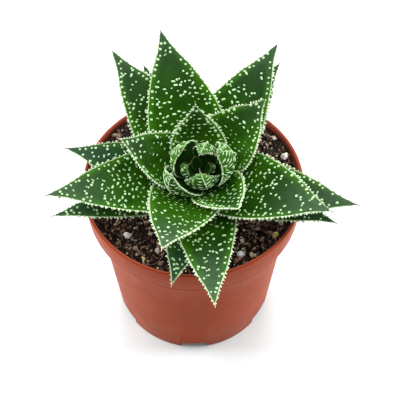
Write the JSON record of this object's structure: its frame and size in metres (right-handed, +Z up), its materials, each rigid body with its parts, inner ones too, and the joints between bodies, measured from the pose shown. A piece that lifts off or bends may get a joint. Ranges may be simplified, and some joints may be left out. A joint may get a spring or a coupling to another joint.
{
  "type": "potted gasteria",
  "caption": "Potted succulent: a rosette of pointed, fleshy, tooth-edged leaves around a closed heart, in a round plastic nursery pot with a stepped collar and notched foot.",
  "frame": {"origin": "At the middle of the whole part's bounding box in plan, on the plane that the pot's foot stands on.", "axes": "+Z is up. -Y is the side that the picture was taken from, and +X is to the right as seen from there. The pot's axis stands 4.8 mm to the -X side and 7.4 mm to the +Y side of the origin."},
  "size_m": [0.1624, 0.1586, 0.1489],
  "materials": {
    "pot_plastic": "thin terracotta-coloured plastic, satin outside",
    "potting_mix": "dark peat and bark with white perlite",
    "leaf_skin": "smooth waxy leaf skin, green with pale raised spots and white toothed margins"
  },
  "bodies": {
    "root": {"pot": "pot_plastic", "soil": "potting_mix", "stem": "leaf_skin", "leaf_01": "leaf_skin", "leaf_02": "leaf_skin", "leaf_03": "leaf_skin", "leaf_04": "leaf_skin", "leaf_05": "leaf_skin", "leaf_06": "leaf_skin", "leaf_07": "leaf_skin", "leaf_08": "leaf_skin", "leaf_09": "leaf_skin", "leaf_10": "leaf_skin", "leaf_11": "leaf_skin", "leaf_12": "leaf_skin", "leaf_13": "leaf_skin", "leaf_14": "leaf_skin", "leaf_15": "leaf_skin", "leaf_16": "leaf_skin", "leaf_17": "leaf_skin", "leaf_18": "leaf_skin", "leaf_19": "leaf_skin", "leaf_20": "leaf_skin", "leaf_21": "leaf_skin", "leaf_22": "leaf_skin", "leaf_23": "leaf_skin", "leaf_24": "leaf_skin", "leaf_25": "leaf_skin", "leaf_26": "leaf_skin"}
  },
  "joints": []
}
